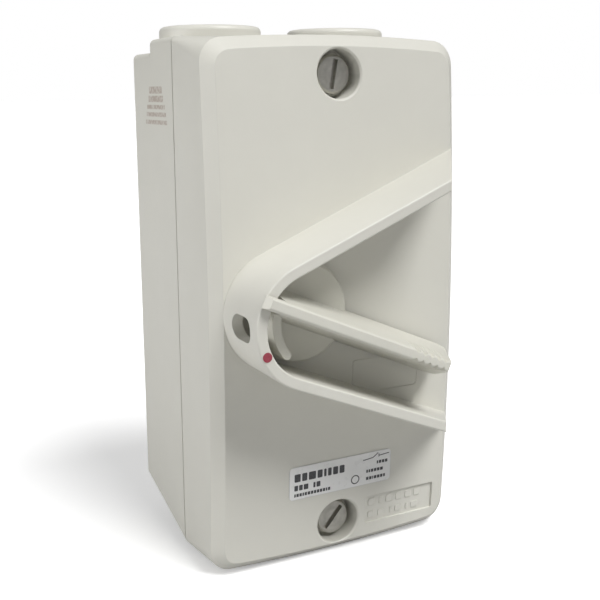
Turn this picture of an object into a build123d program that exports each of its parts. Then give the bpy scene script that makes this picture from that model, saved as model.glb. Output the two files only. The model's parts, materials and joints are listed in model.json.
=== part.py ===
"""Wall-mounted rotary isolator switch: weatherproof box, padlockable guard, lever and contact set.

Units are millimetres.  +X is to the right as the switch is read, +Y goes into the wall and +Z is up.
The origin is the middle of the wall face, level with the middle of the two cover screws.
A depth, below, is a distance in front of the wall, so a point at depth d has Y = -d.
"""
import os
from math import asin, atan, cos, degrees, radians, sin, sqrt

from build123d import *

# ---- Box: base on the wall, cover in front of it ----
body_width = 82.0
base_top = 78.1
base_bottom = -75.4
base_depth = 34.4
base_corner = 1.8
ledge_top = 74.3            # lower band of the base next to the wall
ledge_depth = 16.0
wall_bottom = -65.5         # the base's underside rises to this at the wall
wall = 3.0
front_end = 75.65           # height of the cover's front at its sides
front_rise = 2.4            # rise of its arched top and bottom edges
front_corner = 9.0
face_depth = 60.4           # middle of the bowed front face
face_bow = 3.0
face_bevel = 3.2
cover_wall = 2.8
parting_groove = 0.5        # fine line around the joint between base and cover
bow_radius = (front_end ** 2 + face_bow ** 2) / (2 * face_bow)

# ---- Guard round the lever ----
axis_z = 1.8                # middle line of the guard and of the lever's pivot
guard_x = -20.3             # centre of the guard's round end
guard_outer = 17.6
guard_inner = 14.4
guard_angle = 22.5
guard_depth = 81.7
guard_foot_x = 40.0
guard_foot_depth = 57.0
guard_rim_x = 22.0
padlock_long = 11.5
padlock_short = 6.8
padlock_depth = 71.9

# ---- Handle ----
pivot_x = -16.2
lever_angle = 23.5          # below level when the switch is on
lever_depth = 84.5
lever_front_width = 3.2
lever_foot_width = 9.4
lever_foot_depth = 61.7
lever_tip_front = 40.2
lever_tip_foot = 52.6
tail_front = 20.4
tail_end = 21.8
tail_root = 15.6            # the tail is cut back to this behind the guard's rim
tail_depth = 82.3
drum_radius = 14.4
drum_foot_depth = 60.9
drum_depth = 65.1
shaft_radius = 8.0
shaft_end_depth = 45.5
running_gap = 0.05
shutter_inner = 11.9        # curved wall on the drum that stands behind the padlock slot
shutter_depth = 76.0
shutter_end_angle = 220.0
grip_count = 5
grip_pitch = 2.55
grip_groove = 1.0           # deepest, at the blade's front edge
grip_length = 13.0          # the grooves run out this far behind the front edge

# ---- Fine lines and labels on the face ----
legend_x = 14.9
legend_z = -21.4
legend_width = 23.2
legend_height = 10.8
legend_line = 0.25
legend_groove_depth = 0.12

# ---- Screws and conduit plugs ----
screw_z = 67.2
recess_radius = 7.0
recess_floor_depth = 50.6
head_radius = 5.5
head_height = 3.2
screw_radius = 1.9
plug_x = 21.9
plug_depth = 17.0
plug_flange_radius = 15.5
plug_flange_height = 3.8
plug_stem_radius = 12.4
plug_boss_radius = 15.2

# ---- Switch module on the floor of the base ----
module_depth = 8.0          # back of the module, on the base's four pads
module_half = 19.0
module_low = -32.0
module_high = 30.0
housing_front = 30.0
cap_front = 33.0
cavity_half = 16.5
cavity_low = -20.0
cavity_high = 15.0
crank_radius = 6.0
tip_x = 11.2
crank_pin_radius = 1.5
carriage_back = 11.3
carriage_front = 16.3
fix_x = 28.0
fix_low = -55.0
fix_high = 61.0
fix_radius = 2.4


# ---- Helpers ----
def front(depth=0.0, x=0.0, z=0.0):
    """Plane facing away from the wall, at a depth, with its own X right and Y up."""
    return Plane(origin=(x, -depth, z), x_dir=(1, 0, 0), z_dir=(0, -1, 0))


def block(x0, x1, z0, z1, d0, d1):
    """Box between two X, two Z and two depth values."""
    size = (x1 - x0, d1 - d0, z1 - z0)
    return Pos((x0 + x1) / 2, -(d0 + d1) / 2, (z0 + z1) / 2) * Box(*size)


def rod(radius, d0, d1, x=0.0, z=0.0):
    """Round bar along the depth."""
    return extrude(front(d0, x, z) * Circle(radius), d1 - d0)


def ring(outer, inner, d0, d1, x=0.0, z=0.0):
    """Round tube along the depth."""
    return rod(outer, d0, d1, x, z) - rod(inner, d0, d1, x, z)


def upright(radius, z0, z1, x, depth):
    """Round bar along Z."""
    return Pos(x, -depth, (z0 + z1) / 2) * Cylinder(radius, z1 - z0)


def crossbar(radius, x0, x1, depth, z):
    """Round bar along X."""
    return Pos((x0 + x1) / 2, -depth, z) * Rot(0, 90, 0) * Cylinder(radius, x1 - x0)


def outline(half_width, top, bottom, rise, corner):
    """Upright box outline with round corners; its top and bottom edges arch outwards by rise."""
    edges = ThreePointArc((-half_width, top), (0, top + rise), (half_width, top))
    edges += Line((half_width, top), (half_width, bottom))
    edges += ThreePointArc((half_width, bottom), (0, bottom - rise), (-half_width, bottom))
    edges += Line((-half_width, bottom), (-half_width, top))
    face = make_face(edges)
    return fillet(face.vertices(), corner)


def bow(radius):
    """Large cylinder across the box whose front is the bowed face."""
    return Pos(0, bow_radius - face_depth, 0) * Rot(0, 90, 0) * Cylinder(radius, 2 * body_width)


def cover_block(inset, bevel):
    """Solid cover, or its cavity: square at the base, round and arched at the front, bowed face."""
    half = body_width / 2 - inset
    middle = (base_top + base_bottom) / 2
    base_half = (base_top - base_bottom) / 2 - inset
    rear_corner = max(base_corner - inset, 0.6)
    rear = front(base_depth, 0, middle) * outline(half, base_half, -base_half, 0.02, rear_corner)
    end = front_end - inset
    fore = front(62.0) * outline(half, end, -end, front_rise, front_corner - inset)
    solid = loft([rear.face(), fore.face()], ruled=True) & bow(bow_radius - inset)
    face = solid.faces().sort_by(Axis.Y)[0]
    return chamfer(face.edges(), bevel)


# ---- Enclosure ----
def base_profile(inset):
    """Side view of the base: ledge at the top rear, underside rising to the wall."""
    slope = (base_bottom - wall_bottom) / base_depth
    lift = inset * sqrt(1 + slope ** 2)
    low_back = wall_bottom + slope * inset + lift
    points = [
        (inset, low_back),
        (base_depth, base_bottom + lift),
        (base_depth, base_top - inset),
        (ledge_depth + inset, base_top - inset),
        (ledge_depth + inset, ledge_top - inset),
        (inset, ledge_top - inset),
    ]
    half = body_width / 2 - inset
    side = Plane(origin=(-half, 0, 0), x_dir=(0, -1, 0), z_dir=(-1, 0, 0))
    return extrude(side * make_face(Polyline(points, close=True)), -2 * half)


def runs_along_depth(edge):
    return abs(edge.tangent_at(0.5).X) < 0.1 and abs(edge.tangent_at(0.5).Y) > 0.5


def gasket_ring(width, d0, d1):
    middle = (base_top + base_bottom) / 2
    tall = (base_top - base_bottom) / 2
    mid_inset = wall / 2
    outer = body_width / 2 - mid_inset + width / 2
    inner = outer - width
    outside = RectangleRounded(2 * outer, 2 * (tall - mid_inset + width / 2), 1.6)
    inside = RectangleRounded(2 * inner, 2 * (tall - mid_inset - width / 2), 0.6)
    return extrude(front(d0, 0, middle) * (outside - inside), d1 - d0)


def base_box():
    shell = base_profile(0)
    shell = fillet(shell.edges().filter_by(runs_along_depth), base_corner)
    envelope = shell
    for side in (-1, 1):
        shell += upright(plug_boss_radius, 60, base_top, side * plug_x, plug_depth)
    shell -= base_profile(wall)
    for side in (-1, 1):
        boss = upright(plug_boss_radius, 66, base_top, side * plug_x, plug_depth)
        shell += boss & block(-38, 38, 66, base_top, 1, base_depth)
        shell -= upright(plug_stem_radius + 0.1, 50, 90, side * plug_x, plug_depth)
        shell += rod(6.5, wall - 1, base_depth, 0, side * screw_z) & envelope
        shell -= rod(2.9, base_depth - 10.4, base_depth, 0, side * screw_z)
        for z in (fix_low, fix_high):
            shell += rod(5.0, 1, wall + 1, side * fix_x, z)
            shell -= rod(fix_radius, -1, wall + 2, side * fix_x, z)
    for x, z in module_pads():
        shell += rod(4.5, 1, module_depth, x, z)
    for x, z in module_pads()[:2]:
        shell -= rod(1.3, 2.2, module_depth, x, z)
    for z in (-6.0, 20.0):
        shell += rod(4.0, 1, module_depth, 26.0, z)
    shell -= gasket_ring(1.4, base_depth - 1.6, base_depth)
    shell -= parting_line()
    return shell


def parting_line():
    """Rebate around the base's front edge that shows as a thin line below the cover."""
    middle = (base_top + base_bottom) / 2
    half_height = (base_top - base_bottom) / 2 - parting_groove
    inner = RectangleRounded(body_width - 2 * parting_groove, 2 * half_height, base_corner)
    around = Rectangle(2 * body_width, 4 * half_height) - inner
    return extrude(front(base_depth - parting_groove, 0, middle) * around, parting_groove)


def guard_wall():
    def vee(radius):
        a = radians(guard_angle)
        reach = 90.0
        high = (guard_x - radius * sin(a), axis_z + radius * cos(a))
        low = (guard_x - radius * sin(a), axis_z - radius * cos(a))
        far_high = (high[0] + reach * cos(a), high[1] + reach * sin(a))
        far_low = (low[0] + reach * cos(a), low[1] - reach * sin(a))
        edges = ThreePointArc(high, (guard_x - radius, axis_z), low)
        edges += Line(low, far_low)
        edges += Line(far_low, far_high)
        edges += Line(far_high, high)
        return make_face(edges)

    band = extrude(front(guard_foot_depth) * (vee(guard_outer) - vee(guard_inner)),
                   guard_depth - guard_foot_depth)
    points = [(-60, guard_foot_depth - 1), (guard_foot_x, guard_foot_depth - 1),
              (guard_foot_x, guard_foot_depth), (guard_rim_x, guard_depth), (-60, guard_depth)]
    side = Plane(origin=(0, 0, -70), x_dir=(1, 0, 0), z_dir=(0, 0, 1))
    keep = extrude(side * make_face(Polyline([(x, -d) for x, d in points], close=True)), 140)
    band = band & keep
    rim = band.faces().sort_by(Axis.Y)[0]
    band = fillet(rim.edges(), 0.5)
    wall_plane = Plane(origin=(guard_x - 22, -padlock_depth, axis_z - 0.5), x_dir=(0, 1, 0),
                       z_dir=(1, 0, 0))
    slot = wall_plane * SlotOverall(padlock_long, padlock_short)
    return band - extrude(slot, 12)


def cover():
    body = cover_block(0, face_bevel)
    cavity = cover_block(cover_wall, face_bevel - cover_wall * (2 - sqrt(2)))
    shell = body + guard_wall() - cavity
    for side in (-1, 1):
        shell += rod(9.2, base_depth, face_depth, 0, side * screw_z) & body
        shell -= rod(recess_radius, recess_floor_depth, 65, 0, side * screw_z)
        shell -= rod(2.3, 30, 65, 0, side * screw_z)
    shell += rod(11.5, 48, face_depth - 1, pivot_x, axis_z)
    shell -= rod(shaft_radius + running_gap, 40, 70, pivot_x, axis_z)
    shell -= ring(9.6, shaft_radius, 52, 54, pivot_x, axis_z)
    shell -= legend_groove()
    shell -= marking_recess()
    for side in (-1, 1):
        shell -= recess_mouth(side * screw_z)
    return shell


def recess_mouth(z):
    """Cone square to the bowed face that bevels a screw recess's edge by 0.5."""
    tilt = asin(z / bow_radius)
    depth = face_depth - bow_radius * (1 - cos(tilt))
    mouth = Plane(origin=(0, -depth, z), x_dir=(1, 0, 0), z_dir=(0, -cos(tilt), sin(tilt)))
    return mouth * Cone(recess_radius - 0.4, recess_radius + 1.4, 1.8)


def legend_groove():
    """Fine rounded rectangle moulded into the face beside the pivot."""
    line = RectangleRounded(legend_width, legend_height, 1.2)
    line -= RectangleRounded(legend_width - 2 * legend_line, legend_height - 2 * legend_line, 0.95)
    return extrude(front(50, legend_x, legend_z) * line, 20) - bow(bow_radius - legend_groove_depth)


def marking_recess():
    """Shallow rectangular recess at the lower right of the face."""
    return extrude(front(50, 22.1, -65.7) * RectangleRounded(25, 8.8, 0.6), 20) - bow(bow_radius - 0.6)


def rating_label():
    sheet = extrude(front(50, 0.3, -51.6) * RectangleRounded(35.4, 10.5, 1.5), 20)
    return sheet & (bow(bow_radius + 0.2) - bow(bow_radius))


def red_dot():
    a = radians(180 + lever_angle)
    middle = (guard_outer + guard_inner) / 2
    x = guard_x + middle * cos(a)
    z = axis_z + middle * sin(a)
    return rod(1.3, guard_depth, guard_depth + 0.15, x, z)


def cover_gasket():
    return gasket_ring(1.4, base_depth - 1.6, base_depth)


def cover_screws():
    screws = []
    for side, turn in ((1, 80), (-1, 48)):
        z = side * screw_z
        top = recess_floor_depth + 0.8 + head_height
        head = rod(head_radius, recess_floor_depth + 0.8, top, 0, z)
        head = chamfer(head.edges().sort_by(Axis.Y)[0], 0.5)
        screw = head + rod(screw_radius, base_depth - 9, recess_floor_depth + 0.8, 0, z)
        slot = front(top - 1.5, 0, z) * Rot(0, 0, turn) * Rectangle(8.4, 1.5)
        screws.append(screw - extrude(slot, 3))
    return Compound(children=screws)


def cover_screw_seals():
    rings = [ring(5.0, 2.3, recess_floor_depth, recess_floor_depth + 0.8, 0, s * screw_z) for s in (1, -1)]
    return Compound(children=rings)


def screw_inserts():
    start = base_depth - 10.2
    tubes = [ring(2.9, screw_radius + 0.05, start, base_depth - 0.2, 0, s * screw_z) for s in (1, -1)]
    return Compound(children=tubes)


def conduit_plug(side):
    flange = upright(plug_flange_radius, base_top, base_top + plug_flange_height, side * plug_x, plug_depth)
    flange = fillet(flange.edges().sort_by(Axis.Z)[-1], 1.6)
    stem = upright(plug_stem_radius, base_top - 9, base_top, side * plug_x, plug_depth)
    stem -= upright(plug_stem_radius - 2.4, base_top - 9, base_top - 1, side * plug_x, plug_depth)
    seal_seat = plug_seal(side)
    coin_slot = block(side * plug_x - 8, side * plug_x + 8, base_top + 2.4, base_top + 5,
                      plug_depth - 1.1, plug_depth + 1.1)
    return flange + stem - seal_seat - coin_slot


def plug_seal(side):
    outer = upright(14.6, base_top, base_top + 1.2, side * plug_x, plug_depth)
    return outer - upright(12.9, base_top, base_top + 1.2, side * plug_x, plug_depth)


def conduit_plug_seals():
    return Compound(children=[plug_seal(side) for side in (-1, 1)])


def shaft_seal():
    return ring(9.6, shaft_radius + running_gap, 52, 54, pivot_x, axis_z)


# ---- Handle body ----
def lever_profile():
    """Side view of the blade along its length, as (distance from the pivot, depth)."""
    return [
        (-tail_root, drum_depth + 0.6), (-tail_root, tail_depth), (-tail_end, tail_depth),
        (-tail_front, lever_depth), (lever_tip_front, lever_depth),
        (lever_tip_foot, lever_foot_depth + 2.4), (lever_tip_foot - 1.2, lever_foot_depth),
        (drum_radius + 0.6, lever_foot_depth), (drum_radius - 1.0, drum_depth - 1.6),
        (1.0 - drum_radius, drum_depth - 1.6),
    ]


def handle():
    side = Plane(origin=(0, 0, 0), x_dir=(1, 0, 0), z_dir=(0, 0, 1))
    face = make_face(Polyline([(u, -d) for u, d in lever_profile()], close=True))
    blade = extrude(side * face, 6) + extrude(side * face, -6)
    half_front = lever_front_width / 2
    half_foot = lever_foot_width / 2
    section = [(-half_foot, lever_foot_depth), (half_foot, lever_foot_depth),
               (half_front, lever_depth - 0.5), (half_front - 0.5, lever_depth),
               (0.5 - half_front, lever_depth), (-half_front, lever_depth - 0.5)]
    end = Plane(origin=(-40, 0, 0), x_dir=(0, 0, 1), z_dir=(1, 0, 0))
    wedge = extrude(end * make_face(Polyline([(w, d) for w, d in section], close=True)), 110)
    blade = blade & wedge
    blade -= grip_grooves()
    blade = Rot(0, lever_angle, 0) * blade
    drum = rod(drum_radius, drum_foot_depth, drum_depth)
    drum = chamfer(drum.edges().sort_by(Axis.Y)[0], 0.6)
    shaft = rod(shaft_radius, shaft_end_depth, drum_foot_depth)
    shaft -= ring(9, 7.2, 46.6, 47.6)
    body = blade + drum + shaft + shutter()
    socket = Rot(0, lever_angle, 0) * block(-3.55, 3.55, -3.55, 3.55, 40, 57.2)
    return Pos(pivot_x, 0, axis_z) * (body - socket)


def shutter():
    """Curved wall on the drum; with the switch on it closes the padlock slot from behind."""
    start = 180 - lever_angle
    sweep = shutter_end_angle - start
    outer = CenterArc((0, 0), drum_radius, start, sweep)
    inner = CenterArc((0, 0), shutter_inner, start, sweep)
    flat = make_face(outer + inner + Line(outer @ 0, inner @ 0) + Line(outer @ 1, inner @ 1))
    end = (outer @ 1 + inner @ 1) / 2
    flat += Pos(end.X, end.Y) * Circle((drum_radius - shutter_inner) / 2)
    foot = drum_depth - 1.5
    return extrude(front(foot) * flat, shutter_depth - foot)


def grip_grooves():
    """V-grooves across both flanks near the tip, deepest at the front edge."""
    bar_side = 1.6
    half_diagonal = bar_side / sqrt(2)
    overrun = 2.0
    flank_rise = (lever_foot_width - lever_front_width) / 2 / (lever_depth - lever_foot_depth)
    rise = flank_rise + grip_groove / grip_length
    middle = (grip_length - overrun) / 2
    height = lever_front_width / 2 - grip_groove + rise * middle + half_diagonal
    bar = Rot(0, 45, 0) * Box(bar_side, grip_length + 3 * overrun, bar_side)
    cuts = []
    for i in range(grip_count):
        u = lever_tip_front - 1.8 - i * grip_pitch
        for side in (-1, 1):
            place = Pos(u + 0.2 * middle, middle - lever_depth, side * height)
            cuts.append(place * Rot(side * degrees(atan(rise)), 0, -11.3) * bar)
    return cuts


def drive_spindle():
    bar = block(-3.5, 3.5, -3.5, 3.5, 27.5, 57)
    return Pos(pivot_x, 0, axis_z) * Rot(0, lever_angle, 0) * bar


def retaining_ring():
    return ring(10.6, 7.2, 46.6, 47.6, pivot_x, axis_z)


def rotor_cam():
    """Rotor in the module's cap; its crank pin shifts the contact carriage."""
    a = radians(-lever_angle)
    rotor = rod(7.0, 29.7, 37) + rod(9.5, 27, 29.7)
    rotor += rod(crank_pin_radius, 12, 27, crank_radius * cos(a), crank_radius * sin(a))
    rotor -= Rot(0, lever_angle, 0) * block(-3.55, 3.55, -3.55, 3.55, 27.3, 40)
    return Pos(pivot_x, 0, axis_z) * rotor


# ---- Switch module: fixed pieces ----
def module_pads():
    """Pad centres under the module; the first two take its fixing screws."""
    high = axis_z + 25.0
    low = axis_z - 27.0
    return [(pivot_x + 13.5, high), (pivot_x - 13.5, low), (pivot_x - 13.5, high), (pivot_x + 13.5, low)]


def at_module(shape):
    return Pos(pivot_x, 0, axis_z) * shape


def switch_housing():
    body = block(-module_half, module_half, module_low, module_high, module_depth, housing_front)
    body = chamfer(body.edges().filter_by(Axis.Y), 1.0)
    body -= block(-cavity_half, cavity_half, cavity_low, cavity_high, module_depth + 3, housing_front)
    body -= block(-8, 8, 19.5, module_high, module_depth + 4, housing_front)
    body -= block(-1, 14.5, module_low, -23.5, module_depth + 4, housing_front)
    body -= line_strip(0.05)
    body -= load_strip(0.05)
    for x, z in ((13.5, 25.0), (-13.5, -27.0)):
        body -= rod(1.7, module_depth, housing_front, x, z)
        body -= rod(3.6, housing_front - 6, housing_front, x, z)
    return at_module(body)


def switch_cap():
    cap = block(-module_half, module_half, cavity_low - 2.5, cavity_high + 2.5, housing_front, cap_front)
    cap = chamfer(cap.edges().filter_by(Axis.Y), 1.0)
    cap += rod(10, cap_front, cap_front + 2)
    cap -= rod(7.0 + running_gap, 20, 40)
    return at_module(cap)


def line_strip(gap=0.0):
    """Copper strip from the left fixed contact up the side of the cavity to the line terminal."""
    d0 = carriage_back - gap
    d1 = carriage_front + gap
    foot = block(-16.5 - gap, -9 + gap, -18.1 - gap, -16.6 + gap, d0, d1)
    riser = block(-16.5 - gap, -15 + gap, -18.1, 21 + gap, d0, d1)
    return foot + riser + block(-16.5 - gap, 5 + gap, 19.5 - gap, 21 + gap, d0, d1)


def load_strip(gap=0.0):
    """Copper strip from the right fixed contact down to the load terminal."""
    d0 = carriage_back - gap
    d1 = carriage_front + gap
    foot = block(9 - gap, 14 + gap, -18.1 - gap, -16.6 + gap, d0, d1)
    drop = block(12.5 - gap, 14 + gap, -25, -18, d0, d1)
    return foot + drop + block(1 - gap, 14 + gap, -25 - gap, -23.5 + gap, d0, d1)


def terminal(x, z0, z1, wire_z):
    body = block(x - 4.5, x + 4.5, z0, z1, 14, 26)
    body -= upright(2.4, wire_z, wire_z + 12, x, 17.5)
    return body - rod(2.0, 17, 30, x, (z0 + z1) / 2)


def line_terminal():
    return at_module(terminal(0, 21, 29.4, 20))


def load_terminal():
    return at_module(terminal(6.5, -31.4, -25.0, -36))


def line_contact():
    return at_module(line_strip())


def load_contact():
    return at_module(load_strip())


def terminal_screws():
    screws = []
    for x, z in ((0, 25.2), (6.5, -28.2)):
        screw = rod(1.95, 19.9, 26, x, z) + rod(2.9, 26, 28.6, x, z)
        slot = block(x - 4, x + 4, z - 0.5, z + 0.5, 27.4, 30)
        screws.append(at_module(screw - slot))
    return Compound(children=screws)


def switch_fixing_screws():
    screws = []
    for x, z in ((13.5, 25.0), (-13.5, -27.0)):
        screw = rod(1.25, 3.0, housing_front - 6, x, z)
        screw += rod(3.2, housing_front - 6, housing_front - 3.6, x, z)
        cross = block(x - 2, x + 2, z - 0.4, z + 0.4, 25.2, 30)
        cross += block(x - 0.4, x + 0.4, z - 2, z + 2, 25.2, 30)
        screws.append(at_module(screw - cross))
    return Compound(children=screws)


def fixed_contact_tips():
    tips = [block(x - 1.8, x + 1.8, -16.6, -15.6, carriage_back + 0.7, carriage_front - 0.7)
            for x in (-tip_x, tip_x)]
    return Compound(children=[at_module(tip) for tip in tips])


def earth_bar():
    bar = block(22, 30, -10, 24, module_depth, module_depth + 8)
    for z in earth_ways():
        bar -= crossbar(2.3, 18, 34, module_depth + 3.6, z)
        bar -= rod(1.75, module_depth + 4, module_depth + 10, 26, z)
    return bar


def earth_ways():
    return [0.0, 7.0, 14.0]


def earth_screws():
    screws = []
    for z in earth_ways():
        screw = rod(1.7, module_depth + 6, module_depth + 8, 26, z)
        screw += rod(2.7, module_depth + 8, module_depth + 10.4, 26, z)
        screws.append(screw - block(22, 30, z - 0.5, z + 0.5, module_depth + 9.4, module_depth + 12))
    return Compound(children=screws)


# ---- Switch module: moving contact carriage ----
def crank_place():
    a = radians(-lever_angle)
    return crank_radius * cos(a), crank_radius * sin(a)


def contact_carriage():
    """Moulded slide; the crank pin works in its cross slot and its fork carries the contact bridge."""
    pin_x, pin_z = crank_place()
    body = block(-12.5, 12.5, -6, 5.5, carriage_back, carriage_front)
    gap = crank_pin_radius + 0.3
    body -= block(pin_x - gap, crank_radius + gap, pin_z - gap, pin_z + gap, 10, 30)
    fork = block(-4, 4, -16.4, -6, carriage_back, carriage_front)
    fork -= block(-5, 5, -14.5, -6, carriage_back + 1, carriage_front - 1)
    return at_module(body + fork)


def bridge_contact():
    return at_module(block(-13, 13, -14.5, -12.6, carriage_back + 1, carriage_front - 1))


def bridge_tips():
    tips = [block(x - 1.5, x + 1.5, -15.5, -14.5, carriage_back + 1, carriage_front - 1)
            for x in (-tip_x, tip_x)]
    return Compound(children=[at_module(tip) for tip in tips])


def contact_spring():
    """Coil that presses the contact bridge down in the carriage's fork."""
    wire = 0.25
    coil = Helix(pitch=1.2, height=6.0, radius=1.1)
    start = Plane(origin=coil @ 0, z_dir=coil % 0)
    spring = sweep(start * Circle(wire), path=coil, is_frenet=True)
    return at_module(Pos(0, -(carriage_back + carriage_front) / 2, -12.3) * spring)


PARTS = {
    "base_box": base_box,
    "cover": cover,
    "cover_gasket": cover_gasket,
    "cover_screws": cover_screws,
    "cover_screw_seals": cover_screw_seals,
    "screw_inserts": screw_inserts,
    "conduit_plug_left": lambda: conduit_plug(-1),
    "conduit_plug_right": lambda: conduit_plug(1),
    "conduit_plug_seals": conduit_plug_seals,
    "rating_label": rating_label,
    "red_dot": red_dot,
    "shaft_seal": shaft_seal,
    "handle": handle,
    "retaining_ring": retaining_ring,
    "drive_spindle": drive_spindle,
    "rotor_cam": rotor_cam,
    "switch_housing": switch_housing,
    "switch_cap": switch_cap,
    "switch_fixing_screws": switch_fixing_screws,
    "line_terminal": line_terminal,
    "load_terminal": load_terminal,
    "terminal_screws": terminal_screws,
    "line_contact": line_contact,
    "load_contact": load_contact,
    "fixed_contact_tips": fixed_contact_tips,
    "contact_carriage": contact_carriage,
    "bridge_contact": bridge_contact,
    "bridge_tips": bridge_tips,
    "contact_spring": contact_spring,
    "earth_bar": earth_bar,
    "earth_screws": earth_screws,
}


def main():
    os.makedirs("parts", exist_ok=True)
    for name, make in PARTS.items():
        export_step(make(), f"parts/{name}.step")


main()
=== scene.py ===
"""Looks of the wall-mounted rotary isolator switch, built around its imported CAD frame.

Metres, in the part's own frame: +X to the right as the switch is read, +Y into the wall, +Z up.
"""
import json
import math

import bmesh
import bpy
from mathutils import Matrix, Vector


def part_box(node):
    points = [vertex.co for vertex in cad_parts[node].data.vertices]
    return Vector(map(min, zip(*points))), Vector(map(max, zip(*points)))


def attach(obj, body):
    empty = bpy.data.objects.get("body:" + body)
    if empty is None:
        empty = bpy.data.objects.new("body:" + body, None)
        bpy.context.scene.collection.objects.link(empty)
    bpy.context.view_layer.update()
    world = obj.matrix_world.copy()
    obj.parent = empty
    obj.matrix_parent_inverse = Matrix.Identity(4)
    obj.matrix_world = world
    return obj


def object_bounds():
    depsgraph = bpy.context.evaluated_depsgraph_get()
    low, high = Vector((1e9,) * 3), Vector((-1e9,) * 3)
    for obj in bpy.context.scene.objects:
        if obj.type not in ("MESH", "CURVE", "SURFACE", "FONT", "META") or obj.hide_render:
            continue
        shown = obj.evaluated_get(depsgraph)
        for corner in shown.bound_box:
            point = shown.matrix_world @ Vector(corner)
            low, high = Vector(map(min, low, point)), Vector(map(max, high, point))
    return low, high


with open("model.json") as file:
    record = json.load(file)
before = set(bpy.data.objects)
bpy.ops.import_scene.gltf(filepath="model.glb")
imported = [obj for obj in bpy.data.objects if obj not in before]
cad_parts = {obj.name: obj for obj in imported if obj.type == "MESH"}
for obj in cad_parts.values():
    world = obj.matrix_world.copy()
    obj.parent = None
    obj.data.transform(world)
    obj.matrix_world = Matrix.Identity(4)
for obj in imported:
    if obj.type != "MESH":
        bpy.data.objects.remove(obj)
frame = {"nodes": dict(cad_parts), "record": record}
cad_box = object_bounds()
nodes = frame["nodes"]
MM = 0.001

# ---- The bowed front face, part of a large cylinder lying across the box, in millimetres ----
FACE_DEPTH = 60.4       # of the middle of the face in front of the wall
BOW_RADIUS = 955.3
SCREW_Z = 67.2          # of each cover screw above or below the middle
MARK_FLOOR = -0.62      # bottom of the bars in the marked recess, against the face
MARK_TOP = -0.45
PRINT_LOW = 0.195       # underside and top of the label's print, against the face
PRINT_TOP = 0.225


def face_depth(z):
    """Depth in front of the wall of the bowed face at height z, in millimetres."""
    return FACE_DEPTH - BOW_RADIUS + math.sqrt(BOW_RADIUS ** 2 - z ** 2)


# ---- Camera ----
def make_camera():
    """Stands to the left of the box and a little above its middle, looking right and slightly down."""
    yaw = math.radians(26.89)
    pitch = math.radians(10.43)
    roll = math.radians(-0.47)
    camera = bpy.data.objects.new("camera", bpy.data.cameras.new("camera"))
    camera.location = Vector((-136.2, -290.7, 62.0)) * MM
    turn = Matrix.Rotation(-yaw, 3, "Z") @ Matrix.Rotation(math.pi / 2 - pitch, 3, "X")
    camera.rotation_euler = (turn @ Matrix.Rotation(roll, 3, "Z")).to_euler()
    camera.data.sensor_width = 36
    camera.data.lens = 56.35
    camera.data.shift_x = 0.0278
    camera.data.shift_y = -0.0567
    camera.data.clip_start = 0.01
    camera.data.clip_end = 50
    bpy.context.scene.collection.objects.link(camera)
    bpy.context.scene.camera = camera


# ---- Node helpers ----
class Nodes:
    """A material's node tree, with one short call per node."""

    def __init__(self, name):
        self.material = bpy.data.materials.new(name)
        self.material.use_nodes = True
        self.tree = self.material.node_tree
        self.shader = self.tree.nodes["Principled BSDF"]
        self.place = self.add("TexCoord").outputs["Object"]

    def add(self, kind, **settings):
        node = self.tree.nodes.new("ShaderNode" + kind)
        for key, value in settings.items():
            setattr(node, key, value)
        return node

    def link(self, source, target):
        self.tree.links.new(source, target)

    def feed(self, socket, value):
        if hasattr(value, "is_linked"):
            self.link(value, socket)
        else:
            socket.default_value = value

    def noise(self, scale, detail=3.0, roughness=0.5, place=None):
        node = self.add("TexNoise")
        node.inputs["Scale"].default_value = scale
        node.inputs["Detail"].default_value = detail
        node.inputs["Roughness"].default_value = roughness
        self.link(place or self.place, node.inputs["Vector"])
        return node.outputs["Fac"]

    def math(self, operation, a, b=0.0, c=0.0, clamp=False):
        node = self.add("Math", operation=operation, use_clamp=clamp)
        for socket, value in zip(node.inputs, (a, b, c)):
            self.feed(socket, value)
        return node.outputs[0]

    def fit(self, value, low, high, to_low, to_high):
        """Maps a range of value onto another, clamped."""
        node = self.add("MapRange")
        for key, number in (("From Min", low), ("From Max", high), ("To Min", to_low), ("To Max", to_high)):
            node.inputs[key].default_value = number
        self.link(value, node.inputs["Value"])
        return node.outputs["Result"]

    def mix(self, factor, a, b, blend="MIX"):
        node = self.add("Mix", data_type="RGBA", blend_type=blend)
        self.feed(node.inputs[0], factor)
        for socket, value in ((node.inputs[6], a), (node.inputs[7], b)):
            self.feed(socket, (*value, 1.0) if isinstance(value, tuple) else value)
        return node.outputs[2]

    def axes(self, place=None):
        node = self.add("SeparateXYZ")
        self.link(place or self.place, node.inputs[0])
        return node.outputs

    def bump(self, height, distance, strength=1.0, normal=None):
        node = self.add("Bump")
        node.inputs["Strength"].default_value = strength
        node.inputs["Distance"].default_value = distance
        self.link(height, node.inputs["Height"])
        if normal:
            self.link(normal, node.inputs["Normal"])
        return node.outputs["Normal"]

    def soft_edges(self, radius):
        node = self.add("Bevel", samples=6)
        node.inputs["Radius"].default_value = radius
        return node.outputs["Normal"]

    def finish(self, color, roughness, normal=None):
        self.feed(self.shader.inputs["Base Color"], color)
        self.feed(self.shader.inputs["Roughness"], roughness)
        if normal:
            self.link(normal, self.shader.inputs["Normal"])
        return self.material


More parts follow.
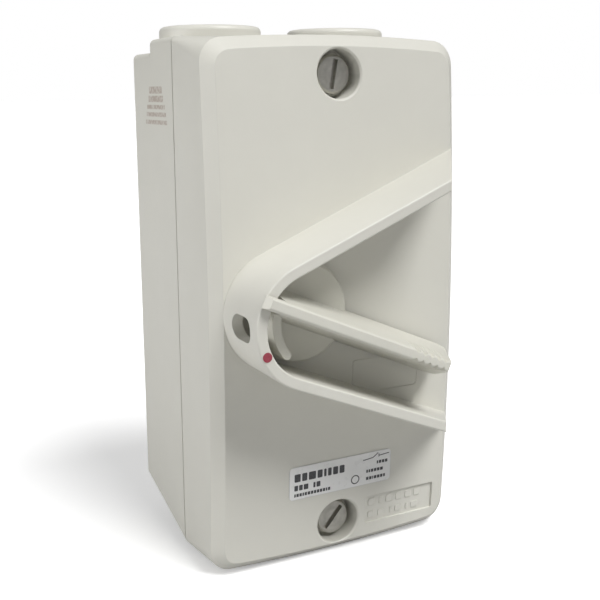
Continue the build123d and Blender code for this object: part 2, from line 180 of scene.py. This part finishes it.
# ---- Materials ----
def plastic_nodes(name, light, dark, grain=0.00004, rough=(0.34, 0.46), edge=0.00035):
    """Moulded plastic: slow cloudy colour drift, fine spark-eroded grain and soft edges."""
    n = Nodes(name)
    drift = n.noise(14.0, 2.0)
    cloud = n.noise(90.0, 4.0, 0.6)
    tone = n.mix(n.fit(drift, 0.3, 0.7, 0.0, 1.0), light, dark)
    tone = n.mix(n.fit(cloud, 0.35, 0.7, 0.0, 0.35), tone, tuple(0.94 * c for c in light))
    speck = n.noise(2600.0, 2.0, 0.7)
    tone = n.mix(n.fit(speck, 0.74, 0.8, 0.0, 0.25), tone, tuple(0.7 * c for c in dark))
    gloss = n.fit(n.noise(60.0, 5.0, 0.65), 0.3, 0.7, rough[0], rough[1])
    grainy = n.noise(1700.0, 3.0, 0.6)
    normal = n.bump(grainy, grain, 0.35, n.soft_edges(edge))
    return n, tone, gloss, normal


def plastic(name, light, dark, **settings):
    n, tone, gloss, normal = plastic_nodes(name, light, dark, **settings)
    return n.finish(tone, gloss, normal)


def metal(name, color, rough, scale=(40.0, 40.0, 900.0), wear=0.25):
    """Drawn or rolled metal: fine lines one way and dull patches."""
    n = Nodes(name)
    n.shader.inputs["Metallic"].default_value = 1.0
    stretch = n.add("Mapping")
    stretch.inputs["Scale"].default_value = scale
    n.link(n.place, stretch.inputs["Vector"])
    lines = n.noise(6.0, 4.0, 0.6, stretch.outputs["Vector"])
    patch = n.noise(220.0, 4.0, 0.6)
    tone = n.mix(n.fit(patch, 0.35, 0.7, 0.0, wear), color, tuple(0.55 * c for c in color))
    tone = n.mix(n.fit(lines, 0.3, 0.7, 0.0, 0.25), tone, tuple(0.8 * c for c in color))
    gloss = n.fit(patch, 0.3, 0.75, rough, rough + 0.2)
    return n.finish(tone, gloss, n.bump(lines, 0.00001, 0.5))


def turned_metal(name):
    """Cover screws: nickel-dull face with the lathe's rings about each screw's own axis."""
    n = Nodes(name)
    n.shader.inputs["Metallic"].default_value = 1.0
    x, _, z = n.axes()
    height = n.math("SUBTRACT", n.math("ABSOLUTE", z), SCREW_Z * MM)
    radius = n.math("SQRT", n.math("ADD", n.math("MULTIPLY", x, x), n.math("MULTIPLY", height, height)))
    rings = n.math("SINE", n.math("MULTIPLY", radius, 2 * math.pi / 0.00042))
    broad = n.math("SINE", n.math("MULTIPLY", radius, 2 * math.pi / 0.0017))
    patch = n.noise(300.0, 4.0, 0.6)
    tone = n.mix(n.fit(rings, -1.0, 1.0, 0.0, 0.35), (0.50, 0.49, 0.45), (0.36, 0.35, 0.32))
    tone = n.mix(n.fit(broad, -1.0, 1.0, 0.0, 0.3), tone, (0.60, 0.59, 0.54))
    tone = n.mix(n.fit(patch, 0.4, 0.7, 0.0, 0.4), tone, (0.28, 0.27, 0.24))
    gloss = n.fit(patch, 0.3, 0.7, 0.34, 0.5)
    return n.finish(tone, gloss, n.bump(rings, 0.00003, 0.5))


def rubber(name):
    n = Nodes(name)
    fine = n.noise(1500.0, 3.0)
    tone = n.mix(n.fit(n.noise(150.0), 0.3, 0.7, 0.0, 1.0), (0.018, 0.018, 0.018), (0.035, 0.034, 0.033))
    return n.finish(tone, n.fit(fine, 0.3, 0.7, 0.6, 0.8), n.bump(fine, 0.00003, 0.5))


def label_film(name):
    """White printed film with a faint edge shade and light orange-peel gloss."""
    n = Nodes(name)
    low, high = (Vector(p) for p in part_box("rating_label"))
    x, _, z = n.axes()
    half = (high - low) / 2
    mid = (high + low) / 2
    across = n.math("SUBTRACT", half.x, n.math("ABSOLUTE", n.math("SUBTRACT", x, mid.x)))
    along = n.math("SUBTRACT", half.z, n.math("ABSOLUTE", n.math("SUBTRACT", z, mid.z)))
    rim = n.fit(n.math("MINIMUM", across, along), 0.0, 0.00025, 1.0, 0.0)
    patch = n.noise(70.0, 3.0)
    tone = n.mix(n.fit(patch, 0.3, 0.7, 0.0, 1.0), (0.86, 0.86, 0.85), (0.80, 0.80, 0.79))
    tone = n.mix(n.math("MULTIPLY", rim, 0.6), tone, (0.42, 0.42, 0.41))
    peel = n.noise(500.0, 2.0)
    return n.finish(tone, n.fit(peel, 0.3, 0.7, 0.25, 0.4), n.bump(peel, 0.00002, 0.4))


def ink(name, color, thin):
    """Screen-printed ink, slightly uneven in density."""
    n = Nodes(name)
    density = n.noise(1800.0, 3.0, 0.7)
    tone = n.mix(n.fit(density, 0.35, 0.65, 0.0, 0.4), color, thin)
    return n.finish(tone, n.fit(density, 0.3, 0.7, 0.35, 0.5), n.bump(density, 0.00001, 0.4))


LIGHT_GREY = (0.700, 0.690, 0.628)
LIGHT_GREY_DARK = (0.672, 0.662, 0.600)


def base_plastic(name):
    """The enclosure's plastic, with rows of small faded brown print high on the left side of the base."""
    n, tone, gloss, normal = plastic_nodes(name, LIGHT_GREY, LIGHT_GREY_DARK)
    x, y, z = n.axes()
    left = n.fit(x, -0.04095, -0.0409, 1.0, 0.0)
    words = n.noise(900.0, 2.0, 0.5)
    # (height of the middle, half height, half width) of each row, in millimetres
    rows = ((63.2, 0.9, 5.4), (60.6, 0.8, 6.2), (58.2, 0.5, 7.6), (56.0, 0.5, 8.4), (53.7, 0.5, 9.2))
    print_mask = None
    for middle, half_height, half_width in rows:
        off_row = n.math("ABSOLUTE", n.math("SUBTRACT", z, middle * MM))
        row = n.fit(off_row, half_height * MM, (half_height + 0.25) * MM, 1.0, 0.0)
        off_end = n.math("ABSOLUTE", n.math("ADD", y, 19.5 * MM))
        row = n.math("MULTIPLY", row, n.fit(off_end, half_width * MM, (half_width + 0.4) * MM, 1.0, 0.0))
        print_mask = row if print_mask is None else n.math("MAXIMUM", print_mask, row)
    print_mask = n.math("MULTIPLY", print_mask, n.fit(words, 0.4, 0.55, 0.25, 0.7))
    tone = n.mix(n.math("MULTIPLY", print_mask, left), tone, (0.36, 0.27, 0.22))
    return n.finish(tone, gloss, normal)


def make_materials():
    return {
        "enclosure_plastic": base_plastic("enclosure_plastic"),
        "handle_plastic": plastic(
            "handle_plastic", (0.69, 0.68, 0.61), (0.66, 0.65, 0.58), rough=(0.36, 0.5)),
        "plug_plastic": plastic("plug_plastic", (0.70, 0.69, 0.63), (0.67, 0.66, 0.60), edge=0.0003),
        "seal_rubber": rubber("seal_rubber"),
        "screw_metal": turned_metal("screw_metal"),
        "brass": metal("brass", (0.78, 0.60, 0.28), 0.28),
        "label_film": label_film("label_film"),
        "red_print": ink("red_print", (0.30, 0.035, 0.06), (0.42, 0.10, 0.12)),
        "spring_steel": metal("spring_steel", (0.58, 0.58, 0.57), 0.3),
        "black_moulding": plastic("black_moulding", (0.030, 0.030, 0.032), (0.022, 0.022, 0.024)),
        "switch_moulding": plastic("switch_moulding", (0.085, 0.085, 0.09), (0.07, 0.07, 0.075)),
        "plated_steel": metal("plated_steel", (0.66, 0.66, 0.63), 0.3),
        "copper": metal("copper", (0.80, 0.42, 0.27), 0.25, (900.0, 40.0, 40.0)),
        "silver": metal("silver", (0.86, 0.85, 0.82), 0.22),
    }


def dress_nodes(materials):
    slot_of = {row["node"]: row["material_slot"] for row in frame["record"]["subparts"]}
    for name, node in nodes.items():
        material = materials[slot_of[name]]
        if not node.material_slots:
            node.data.materials.append(material)
        for slot in node.material_slots:
            slot.material = material


# ---- Small pieces on the face ----
def prism(mesh, corners, low, high):
    """Thin plate on the bowed face over (x, z) corners, from low to high above the face, in millimetres."""
    rings = []
    for lift in (low, high):
        rings.append([mesh.verts.new(Vector((x, -face_depth(z) - lift, z)) * MM) for x, z in corners])
    back, front = rings
    count = len(corners)
    mesh.faces.new(front)
    mesh.faces.new(back[::-1])
    for i in range(count):
        j = (i + 1) % count
        mesh.faces.new((back[i], back[j], front[j], front[i]))


def rounded(x, z, width, height, radius, steps=4):
    """Corners of a rectangle centred on (x, z) with round corners, counter-clockwise."""
    corners = []
    for quarter in range(4):
        across = 1 if quarter in (0, 3) else -1
        up = 1 if quarter in (0, 1) else -1
        cx = x + across * (width / 2 - radius)
        cz = z + up * (height / 2 - radius)
        for i in range(steps + 1):
            a = math.pi / 2 * (quarter + i / steps)
            corners.append((cx + radius * math.cos(a), cz + radius * math.sin(a)))
    return corners


def stroke(x0, z0, x1, z1, width):
    """Corners of a straight line of a given width."""
    length = math.hypot(x1 - x0, z1 - z0)
    ox = -(z1 - z0) / length * width / 2
    oz = (x1 - x0) / length * width / 2
    return [(x0 - ox, z0 - oz), (x1 - ox, z1 - oz), (x1 + ox, z1 + oz), (x0 + ox, z0 + oz)]


def piece(name, mesh, material, body="enclosure"):
    bmesh.ops.recalc_face_normals(mesh, faces=mesh.faces)
    data = bpy.data.meshes.new(name)
    mesh.to_mesh(data)
    mesh.free()
    data.materials.append(material)
    thing = bpy.data.objects.new(name, data)
    bpy.context.scene.collection.objects.link(thing)
    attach(thing, body)
    return thing


def label_print(material):
    """Rows of plain blocks for wording, a switch contact symbol and a ring, on the rating label."""
    low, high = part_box("rating_label")
    x = (low.x + high.x) / 2 / MM
    z = (low.z + high.z) / 2 / MM
    mesh = bmesh.new()
    # (left end, height above the middle, block height, block widths)
    rows = (
        (-16.0, 1.7, 2.5, (2.0, 1.7, 2.4, 1.7, 0.8, 1.2, 1.7, 1.7)),
        (-16.0, -1.5, 1.7, (1.2, 1.2, 1.5)),
        (-9.6, -1.5, 1.7, (0.7, 1.3)),
        (-16.0, -3.8, 1.0, (0.5, 0.8, 0.8, 0.5, 0.8, 0.9, 0.8, 0.8, 0.8, 0.8, 0.8, 0.5, 0.8)),
        (12.6, 1.5, 1.0, (0.5, 0.9, 0.9, 0.9)),
        (8.9, -0.9, 1.0, (0.6, 0.6, 0.9, 0.9, 0.9, 1.0)),
        (8.9, -3.3, 1.0, (0.9, 0.9, 0.4, 0.9, 0.9, 0.9, 0.7)),
    )
    for left, up, tall, widths in rows:
        gap = 0.22 * tall
        for width in widths:
            block = rounded(x + left + width / 2, z + up, width, tall, 0.12 * tall)
            prism(mesh, block, PRINT_LOW, PRINT_TOP)
            left += width + gap
    wire = 0.28
    symbol = (
        (7.6, 2.9, 11.2, 3.3),
        (11.2, 3.3, 13.0, 4.6),
        (13.3, 3.6, 17.0, 3.9),
        (13.3, 3.2, 13.3, 4.2),
    )
    for ends in symbol:
        x0, z0, x1, z1 = ends
        prism(mesh, stroke(x + x0, z + z0, x + x1, z + z1, wire), PRINT_LOW, PRINT_TOP)
    ring_x, ring_z, ring_r = x + 5.0, z - 2.8, 1.5
    for i in range(20):
        a0 = 2 * math.pi * i / 20
        a1 = 2 * math.pi * (i + 1) / 20
        quad = [(ring_x + r * math.cos(a), ring_z + r * math.sin(a))
                for r, a in ((ring_r, a0), (ring_r, a1), (ring_r - 0.35, a1), (ring_r - 0.35, a0))]
        prism(mesh, quad, PRINT_LOW, PRINT_TOP)
    return piece("label_print", mesh, material)


def marking_bars(material):
    """Plain raised bars on the floor of the shallow recess at the lower right of the face."""
    mesh = bmesh.new()
    for z, tall, blocks in (
        (-63.6, 2.5, ((12.0, 2.4), (15.4, 1.2), (18.6, 2.6), (22.2, 2.4), (25.6, 2.2), (29.0, 2.4))),
        (-67.8, 2.2, ((12.0, 2.2), (15.6, 2.2), (19.4, 1.0), (22.0, 2.2), (25.4, 1.0), (28.2, 2.6))),
    ):
        for x, width in blocks:
            prism(mesh, rounded(x, z, width, tall, 0.5), MARK_FLOOR, MARK_TOP)
    return piece("marking_bars", mesh, material)


# ---- Stage ----
SKY_LOW = 0.05
SKY_HIGH = 0.36
FLOOR_SIZE = 40
FLOOR_GAP = 0.2 * MM
FLOOR_GLOW = 0.35
SUN_POWER = 2.75
SUN_ANGLE = 26
SUN_FROM = (0.20, -0.52, 0.83)
PANEL_POWER = 11.5
PANEL_SIZE = 0.9
PANEL_AT = (-1.2, 0.1, -0.05)


def make_world():
    """Plain white behind the part; a dimmer soft sky, brighter overhead, lights it."""
    world = bpy.data.worlds.new("studio")
    bpy.context.scene.world = world
    world.use_nodes = True
    tree = world.node_tree
    place = tree.nodes.new("ShaderNodeTexCoord")
    split = tree.nodes.new("ShaderNodeSeparateXYZ")
    sky = tree.nodes.new("ShaderNodeMapRange")
    sky.inputs["From Min"].default_value = -0.2
    sky.inputs["From Max"].default_value = 1.0
    sky.inputs["To Min"].default_value = SKY_LOW
    sky.inputs["To Max"].default_value = SKY_HIGH
    tree.links.new(place.outputs["Generated"], split.inputs[0])
    tree.links.new(split.outputs["Z"], sky.inputs["Value"])
    ray = tree.nodes.new("ShaderNodeLightPath")
    level = tree.nodes.new("ShaderNodeMath")
    level.operation = "MAXIMUM"
    tree.links.new(sky.outputs["Result"], level.inputs[0])
    tree.links.new(ray.outputs["Is Camera Ray"], level.inputs[1])
    tree.links.new(level.outputs[0], tree.nodes["Background"].inputs["Strength"])
    tree.nodes["Background"].inputs["Color"].default_value = (1.0, 1.0, 1.0, 1.0)


def make_floor():
    """Pale ground below the part: its bounce lights the part's lower half; a faint glow hides the horizon."""
    low = cad_box[0]
    bpy.ops.mesh.primitive_plane_add(size=FLOOR_SIZE, location=(0, 0, low.z - FLOOR_GAP))
    floor = bpy.context.object
    floor.name = "floor"
    n = Nodes("floor")
    patch = n.fit(n.noise(3.0), 0.3, 0.7, 0.0, 1.0)
    pale = n.mix(patch, (0.92, 0.92, 0.92), (0.90, 0.90, 0.90))
    dull = n.mix(patch, (0.56, 0.56, 0.56), (0.54, 0.54, 0.54))
    seen = n.add("LightPath").outputs["Is Camera Ray"]
    floor.data.materials.append(n.finish(n.mix(seen, dull, pale), n.fit(n.noise(8.0), 0.3, 0.7, 0.75, 0.9)))
    n.feed(n.shader.inputs["Emission Color"], (1.0, 1.0, 1.0, 1.0))
    n.link(n.math("MULTIPLY", seen, FLOOR_GLOW), n.shader.inputs["Emission Strength"])


def aim(lamp, target):
    lamp.rotation_euler = (Vector(target) - lamp.location).to_track_quat("-Z", "Y").to_euler()


def make_lights():
    """A high key light from the front right, and a broad soft panel off the left side."""
    sun = bpy.data.objects.new("sun", bpy.data.lights.new("sun", "SUN"))
    sun.data.energy = SUN_POWER
    sun.data.angle = math.radians(SUN_ANGLE)
    sun.location = SUN_FROM
    aim(sun, (0, 0, 0))
    bpy.context.scene.collection.objects.link(sun)
    panel = bpy.data.objects.new("side_panel", bpy.data.lights.new("side_panel", "AREA"))
    panel.data.energy = PANEL_POWER
    panel.data.size = PANEL_SIZE
    panel.location = PANEL_AT
    aim(panel, (0, 0, 0))
    bpy.context.scene.collection.objects.link(panel)


make_camera()
make_world()
make_floor()
make_lights()
materials = make_materials()
dress_nodes(materials)
label_print(ink("label_ink", (0.045, 0.045, 0.05), (0.12, 0.12, 0.125)))
marking_bars(materials["enclosure_plastic"])
bpy.context.scene.view_settings.view_transform = "Standard"
